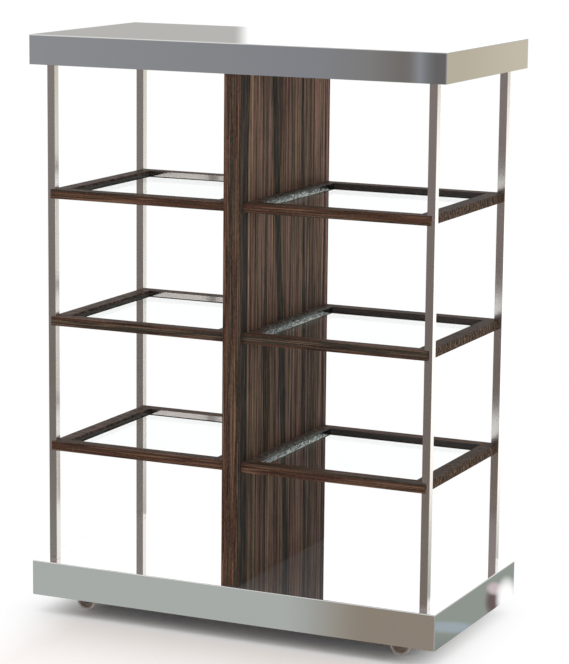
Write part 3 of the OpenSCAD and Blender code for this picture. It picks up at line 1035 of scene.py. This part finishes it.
@dataclass
class CentrePanel:
    """Veneered panel with its lippings and bolts."""

    edge: float = 0.0008
    bolt_edge: float = 0.0004

    def dress(self, shop: Workshop) -> None:
        """Dress the board, the two lippings and the bolts.

        Args:
            shop: The finishes.
        """
        dress("centre_panel", shop.panel)
        dress("panel_front_lipping", shop.lipping, self.edge)
        dress("panel_rear_lipping", shop.lipping, self.edge)
        dress("panel_bolts", shop.plated, self.bolt_edge)


@dataclass
class Shelves:
    """Six framed panes with their strips, pins and dowels."""

    edge: float = 0.0007

    def dress(self, shop: Workshop) -> None:
        """Dress every shelf and its fixings.

        Args:
            shop: The finishes.
        """
        for side in Side:
            for level in Level:
                name = f"{side.value}_{level.value}"
                dress(f"shelf_frame_{name}", shop.rail, self.edge)
                dress(f"shelf_glass_{name}", shop.glass)
                dress(f"shelf_trim_{name}", shop.strips[side])
        dress("shelf_pins", shop.plated)
        dress("shelf_dowels", shop.dowel)


@dataclass
class Castors:
    """Four swivel castors."""

    edge: float = 0.0005

    def dress(self, shop: Workshop) -> None:
        """Dress plates, forks, axles, wheels, tyres, balls and bolts.

        Args:
            shop: The finishes.
        """
        for corner in Corner:
            for part, finish in (("plate", shop.plated), ("fork", shop.bronzed),
                                 ("axle", shop.bronzed), ("wheel", shop.hub)):
                dress(f"castor_{part}_{corner.value}", finish, self.edge)
            dress(f"castor_tyre_{corner.value}", shop.tyre)
        dress("castor_balls", shop.steel)
        dress("castor_bolts", shop.plated)


@dataclass
class Camera:
    """Camera that stands where the photograph was taken from; its angles are in radians."""

    eye: Triple = (3.01486, -6.47993, 2.09289)
    pitch: float = -0.179857
    yaw: float = -0.432426
    roll: float = 0.0104338
    lens: float = 143.83
    sensor: float = 36.0
    sight: float = 200.0

    def build(self) -> None:
        """Stand the camera."""
        data = bpy.data.cameras.new("camera")
        data.sensor_width = self.sensor
        data.lens = self.lens
        data.clip_end = self.sight
        ahead = Vector((math.sin(self.yaw) * math.cos(self.pitch),
                        math.cos(self.yaw) * math.cos(self.pitch), math.sin(self.pitch)))
        flat = Vector((math.cos(self.yaw), -math.sin(self.yaw), 0.0))
        rise = flat.cross(ahead)
        right = flat * math.cos(self.roll) + rise * math.sin(self.roll)
        above = rise * math.cos(self.roll) - flat * math.sin(self.roll)
        turn = Matrix((right, above, -ahead)).transposed().to_4x4()
        stand = bpy.data.objects.new("camera", data)
        stand.matrix_world = Matrix.Translation(Vector(self.eye)) @ turn
        bpy.context.scene.collection.objects.link(stand)
        bpy.context.scene.camera = stand


@dataclass
class Floor:
    """Pale floor that takes the unit's shadow and that mirrors do not show."""

    reach: float = 40.0
    pale: Colour = (0.98, 0.98, 0.98)
    # Painted shadow tint: a cool tone on the floor under the unit.
    cool_shadow_tint: Colour = (0.88, 0.92, 1.0)
    blush: Colour = (0.97, 0.91, 0.885)
    sheet_blush: Colour = (1.0, 0.955, 0.94)
    front_y: Mask = Mask(-0.28, -0.36)
    front_x: Mask = Mask(0.62, 0.40)
    under_y: Mask = Mask(0.27, 0.18)
    under_x: Mask = Mask(0.60, 0.50)
    unit_y: float = CAD_BOX[1].y
    shadow_x: float = 0.42
    shadow_pull: float = 1.6
    shadow_lean: float = 0.15
    shadow_end: Mask = Mask(0.03, 0.5)

    def build(self) -> None:
        """Lay the floor."""
        corners = [(x * self.reach, y * self.reach, 0.0) for x, y in ((-1, -1), (1, -1), (1, 1), (-1, 1))]
        mesh = bpy.data.meshes.new("floor")
        mesh.from_pydata(corners, [], [(0, 1, 2, 3)])
        made = bpy.data.materials.new("pale_floor")
        made.use_nodes = True
        self.paint(Graph(made.node_tree))
        mesh.materials.append(made)
        floor = bpy.data.objects.new("floor", mesh)
        bpy.context.scene.collection.objects.link(floor)

    def paint(self, graph: Graph) -> None:
        """Paint matt paper that is plain white away from the unit, with a painted cool shadow tint under
        it.

        Args:
            graph: The material's graph.
        """
        x, y, _ = graph.parts(graph.place())
        wide, deep = x.size(), y.size()
        warm = self.front_y.of(graph, y) * self.front_x.of(graph, wide)
        # Painted shadow tint under the unit.
        under = self.under_y.of(graph, deep) * self.under_x.of(graph, wide)
        tone = graph.mix(warm, graph.mix(under, self.pale, self.cool_shadow_tint), self.blush)
        matt = graph.add("ShaderNodeBsdfDiffuse", None, {"Color": tone})
        sheet = graph.mix(warm, WHITE, self.sheet_blush)
        bright = graph.add("ShaderNodeEmission", None, {"Color": sheet, "Strength": 1.0})
        path = graph.add("ShaderNodeLightPath", out="Is Camera Ray")
        sideways = ((wide - self.shadow_x) | 0.0) * self.shadow_pull
        away = ((deep - self.unit_y) | 0.0) + sideways + (y + self.unit_y) * self.shadow_lean
        seen = (path | path.at("Is Transmission Ray")) * self.shadow_end.of(graph, away)
        clear = graph.add("ShaderNodeBsdfTransparent")
        graph.finish(graph.choose(path.at("Is Glossy Ray"), graph.choose(seen, matt, bright), clear))


@dataclass
class Lamp:
    """Large soft lamp over the unit, seen by no mirror."""

    spot: Triple = (0.8, -0.6, 5.5)
    aim: Triple = (0.0, 0.0, 0.6)
    size: float = 5.0
    power: float = 40.0

    def build(self) -> None:
        """Hang the lamp."""
        data = bpy.data.lights.new("lamp_over", "AREA")
        data.shape = "DISK"
        data.size = self.size
        data.energy = self.power
        lamp = bpy.data.objects.new("lamp_over", data)
        lamp.location = self.spot
        lamp.rotation_euler = (Vector(self.aim) - Vector(self.spot)).to_track_quat("-Z", "Y").to_euler()
        lamp.visible_glossy = False
        lamp.visible_camera = False
        bpy.context.scene.collection.objects.link(lamp)


@dataclass(frozen=True)
class Ray:
    """A mirrored ray: heading and height over the horizon in degrees, and 1 if a clear mirror sent it."""

    graph: Graph
    turn: Wire
    rise: Wire
    sharp: Wire

    def by(self, angle: Wire, stops: Stops, limits: Span) -> Wire:
        """Colour of an angle.

        Args:
            angle: The ray's turn or rise.
            stops: Colours at their angles.
            limits: Angles that the stops lie between.

        Returns:
            The colour.
        """
        low, high = limits
        wide = high - low
        placed = tuple(((place - low) / wide, colour) for place, colour in stops)
        return self.graph.ramp((angle - low) * (1.0 / wide), placed)


@dataclass(frozen=True)
class Patch:
    """A soft-edged patch of the surroundings: its colour, its place and its reach, in degrees."""

    colour: Colour
    turn: float
    rise: float
    wide: float
    tall: float
    edge: Mask = Mask(1.7, 0.1)

    def over(self, ray: Ray, base: Wire) -> Wire:
        """Lay the patch over a colour.

        Args:
            ray: The mirrored ray.
            base: Colour below the patch.

        Returns:
            The colour with the patch.
        """
        wide = (ray.turn - self.turn) * (1.0 / self.wide)
        tall = (ray.rise - self.rise) * (1.0 / self.tall)
        return ray.graph.mix(self.edge.of(ray.graph, wide * wide + tall * tall), base, self.colour)


# Light of the studio's brightest part.
GLOW: Colour = (1.28, 1.28, 1.28)


@dataclass
class Surroundings:
    """White backdrop, plain light, and a soft studio that only mirrors show.

    Angles are in degrees: a turn is a heading, clockwise from the rear, and a rise is a height over
    the horizon.
    """

    plain: Colour = (0.95, 0.95, 0.95)
    low: Window = Window(-27.0, -22.0, 22.0, 27.0)
    front: Window = Window(-179.0, -172.0, -144.0, -137.0)
    rear_start: Mask = Mask(4.0, 11.0)
    rear_end: Mask = Mask(46.0, 38.0)
    upward_turn: Mask = Mask(-50.0, -42.0)
    upward_rise: Mask = Mask(1.0, 2.6)
    first_bounce: Mask = Mask(2.0, 1.0)
    rises: Span = (-30.0, 30.0)

    # The plain studio.
    level: Stops = ((-30.0, shown(176, 176, 175)), (-14.0, shown(154, 154, 154)),
                    (-3.0, shown(138, 138, 140)), (4.0, shown(178, 178, 177)),
                    (18.0, shown(204, 204, 203)), (30.0, shown(218, 218, 217)))
    panels: float = 7.0
    panel_dark: Colour = (0.74, 0.74, 0.75)
    panel_light: Colour = (1.14, 1.14, 1.12)

    # What the posts, the skirt of the base and the edge of the worktop mirror to the front.
    post: Stops = ((-13.4, shown(80, 69, 63)), (-6.2, shown(121, 112, 108)))
    glint: Colour = shown(150, 140, 143)
    glint_turn: Mask = Mask(-158.8, -160.4)
    glint_rise: Mask = Mask(-8.5, -6.5)
    skirt: Colour = shown(166, 171, 168)
    skirt_end: Colour = shown(138, 128, 116)
    skirt_turn: Mask = Mask(-155.1, -157.2)
    skirt_rise: Window = Window(-17.9, -17.2, -15.2, -14.6)
    slab: Stops = ((-158.44, shown(100, 98, 98)), (-158.28, shown(109, 112, 113)),
                   (-158.08, shown(133, 136, 142)), (-157.86, shown(114, 110, 109)),
                   (-157.70, shown(111, 108, 105)), (-157.00, shown(123, 122, 121)),
                   (-155.90, shown(128, 129, 134)), (-149.80, shown(138, 139, 142)))
    slab_turns: Span = (-160.0, -148.0)
    slab_rise: Window = Window(-6.0, -5.3, -3.6, -2.8)

    # What they mirror to the side, and what the faces that look up mirror.
    side: Stops = ((-24.0, shown(124, 130, 126)), (-17.05, shown(124, 130, 126)),
                   (-16.6, shown(140, 147, 140)), (-15.0, shown(140, 147, 140)),
                   (-13.6, (1.70, 1.66, 1.60)), (-6.5, (1.70, 1.68, 1.64)), (6.0, GLOW))
    shade: Stops = ((-15.0, shown(150, 142, 136)), (-10.0, shown(204, 207, 202)),
                    (-5.0, shown(212, 217, 210)), (6.0, GLOW))
    shade_turn: Mask = Mask(24.5, 27.0)
    room_rise: Mask = Mask(-14.9, -14.3)
    ledge: Colour = shown(179, 172, 154)
    ledge_end: Colour = shown(191, 184, 166)
    ledge_turn: Mask = Mask(21.3, 19.6)
    ledge_rise: Window = Window(-6.0, -5.3, -3.2, -2.0)
    veil: Stops = ((-6.0, shown(190, 186, 178)), (2.8, srgb(187, 186, 183)),
                   (5.5, srgb(187, 186, 183)), (8.5, GLOW))
    veil_turn: Mask = Mask(-25.45, -25.95)
    open_turn: Window = Window(-25.95, -25.45, -4.0, 8.0)
    open_rise: Mask = Mask(0.5, 2.5)
    patches: Tuple[Patch, ...] = (Patch(shown(152, 164, 170), 21.02, -16.585, 0.62, 0.12),
                                  Patch(shown(103, 88, 87), 20.045, -16.02, 0.18, 0.30),
                                  Patch(shown(196, 181, 184), 20.03, -15.73, 0.17, 0.13),
                                  Patch(shown(255, 255, 255), 19.755, -15.95, 0.22, 0.42))

    def build(self) -> None:
        """Give the scene its world."""
        world = bpy.data.worlds.new("studio")
        world.use_nodes = True
        bpy.context.scene.world = world
        graph = Graph(world.node_tree)
        path = graph.add("ShaderNodeLightPath", out="Is Camera Ray")
        x, y, z = graph.parts(graph.add("ShaderNodeTexCoord", out="Generated"))
        sharp = path.at("Is Singular Ray") * self.first_bounce.of(graph, path.at("Glossy Depth"))
        ray = Ray(graph, x.angle_to(y) * DEGREES, z.arcsine() * DEGREES, sharp)
        plain = graph.mix(path.at("Is Glossy Ray"), self.plain, self.mirrored(ray))
        colour = graph.mix(path | path.at("Is Transmission Ray"), plain, WHITE)
        light = graph.add("ShaderNodeBackground", None, {"Color": colour, "Strength": 1.0})
        graph.add("ShaderNodeOutputWorld", None, {"Surface": light})

    def mirrored(self, ray: Ray) -> Wire:
        """What mirrors show in every direction.

        Args:
            ray: The mirrored ray.

        Returns:
            The colour of the studio.
        """
        graph = ray.graph
        room = self.room(ray)
        low = self.low.of(graph, ray.rise)
        front = self.front.of(graph, ray.turn) * low
        upward = self.upward_turn.of(graph, ray.turn) * self.upward_rise.of(graph, ray.rise)
        start = self.rear_start.of(graph, ray.turn) | upward
        rear = self.rear_end.of(graph, ray.turn) * start * low
        return graph.mix(rear, graph.mix(front, room, self.ahead(ray, room)), self.behind(ray, room))

    def room(self, ray: Ray) -> Wire:
        """What the rest mirrors: a grey studio with soft light panels all round.

        Args:
            ray: The mirrored ray.

        Returns:
            The colour of the studio.
        """
        level = ray.by(ray.rise, self.level, self.rises)
        panels = (ray.turn * (self.panels / DEGREES)).sine() * 0.5 + 0.5
        sway = ray.graph.mix(panels, self.panel_dark, self.panel_light)
        return ray.graph.mix(1.0, level, sway, "MULTIPLY")

    def ahead(self, ray: Ray, room: Wire) -> Wire:
        """What faces to the front mirror.

        Args:
            ray: The mirrored ray.
            room: The plain studio, which clear mirrors show above the skirt.

        Returns:
            The colour of that half of the studio.
        """
        graph = ray.graph
        glint = self.glint_turn.of(graph, ray.turn) * self.glint_rise.of(graph, ray.rise)
        post = graph.mix(glint, ray.by(ray.rise, self.post, self.rises), self.glint)
        skirt = graph.mix(self.skirt_turn.of(graph, ray.turn), self.skirt, self.skirt_end)
        view = graph.mix(self.skirt_rise.of(graph, ray.rise), graph.mix(ray.sharp, post, room), skirt)
        slab = ray.by(ray.turn, self.slab, self.slab_turns)
        return graph.mix(self.slab_rise.of(graph, ray.rise), view, slab)

    def behind(self, ray: Ray, room: Wire) -> Wire:
        """What faces to the side, to the rear and upwards mirror.

        Args:
            ray: The mirrored ray.
            room: The plain studio, which clear mirrors show above the skirt.

        Returns:
            The colour of that half of the studio.
        """
        graph = ray.graph
        view = graph.mix(self.shade_turn.of(graph, ray.turn), ray.by(ray.rise, self.side, self.rises),
                         ray.by(ray.rise, self.shade, self.rises))
        view = graph.mix(ray.sharp * self.room_rise.of(graph, ray.rise), view, room)
        ledge = graph.mix(self.ledge_turn.of(graph, ray.turn), self.ledge, self.ledge_end)
        view = graph.mix(self.ledge_rise.of(graph, ray.rise), view, ledge)
        veil = ray.by(ray.rise, self.veil, self.rises)
        view = graph.mix(self.veil_turn.of(graph, ray.turn), view, veil)
        clear = self.open_turn.of(graph, ray.turn) * self.open_rise.of(graph, ray.rise)
        view = graph.mix(clear, view, GLOW)
        for patch in self.patches:
            view = patch.over(ray, view)
        return view


def main() -> None:
    """Dress the unit and stand it in the studio."""
    logging.basicConfig(level=logging.INFO, format="%(name)s: %(message)s")
    bpy.context.scene.view_settings.view_transform = "Standard"
    for setting in (Camera(), Floor(), Lamp(), Surroundings()):
        setting.build()
    shop = Workshop()
    for assembly in (Worktop(), Base(), Posts(), CentrePanel(), Shelves(), Castors()):
        assembly.dress(shop)


if __name__ == "__main__":
    main()
